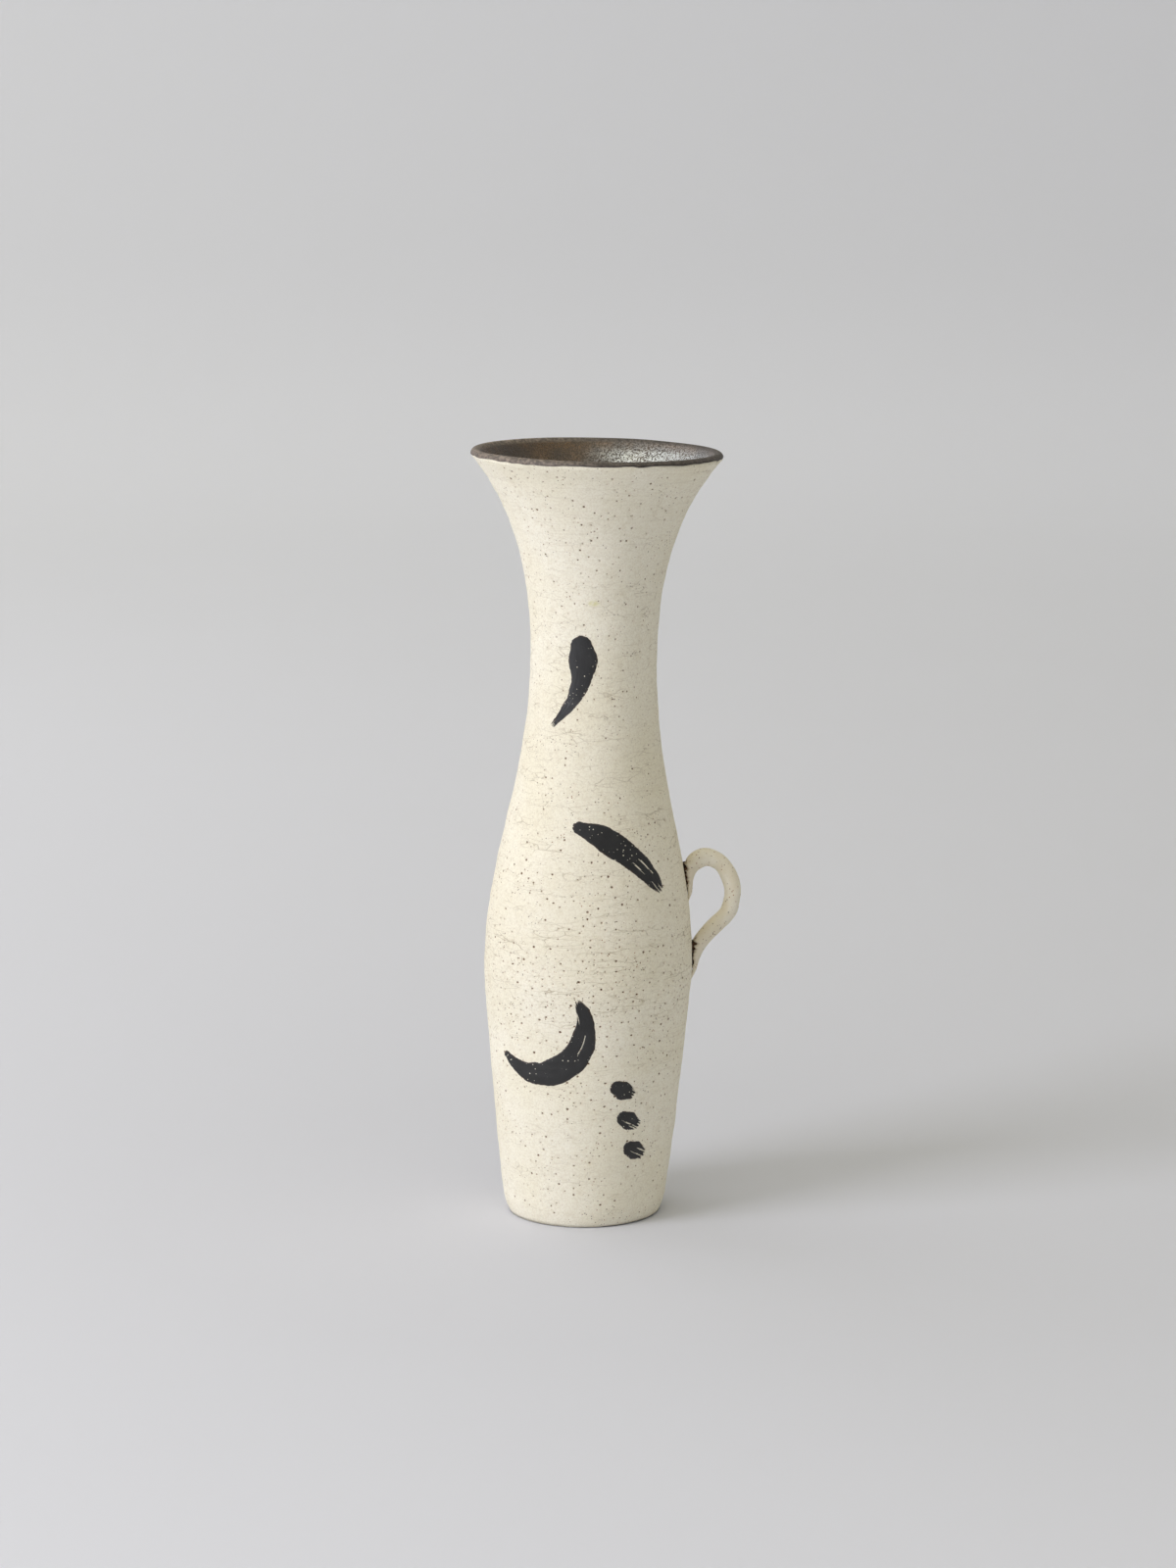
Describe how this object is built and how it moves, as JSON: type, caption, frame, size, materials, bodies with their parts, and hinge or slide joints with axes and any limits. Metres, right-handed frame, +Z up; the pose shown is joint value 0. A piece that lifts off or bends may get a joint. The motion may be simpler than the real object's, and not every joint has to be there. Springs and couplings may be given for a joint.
{
  "type": "bud vase",
  "caption": "Tall wheel-thrown stoneware bud vase with a narrow neck, a flared dark-glazed mouth, cream slip with black brush marks, and a small loop handle on its shoulder.",
  "frame": {"origin": "middle of the flat foot, on the surface the vase stands on", "axes": "+Z up out of the mouth, +X towards the loop handle, -Y the front"},
  "size_m": [0.0871, 0.0806, 0.2506],
  "materials": {
    "dark_clay": "matte, unglazed",
    "cream_slip": "matte, crackled and pitted",
    "bronze_glaze": "satin metallic glaze",
    "coil_slip": "matte, smooth",
    "luting_slip": "matte, cracked",
    "black_slip": "satin, brushed"
  },
  "bodies": {
    "root": {"clay_body": "dark_clay", "slip_coat": "cream_slip", "glaze_lining": "bronze_glaze", "loop_handle": "coil_slip", "upper_lute": "luting_slip", "lower_lute": "luting_slip", "ring_mark": "black_slip", "slash_mark": "black_slip", "comma_mark": "black_slip", "dab_marks": "black_slip", "wave_mark": "black_slip", "crescent_mark": "black_slip", "bar_marks": "black_slip"}
  },
  "joints": []
}
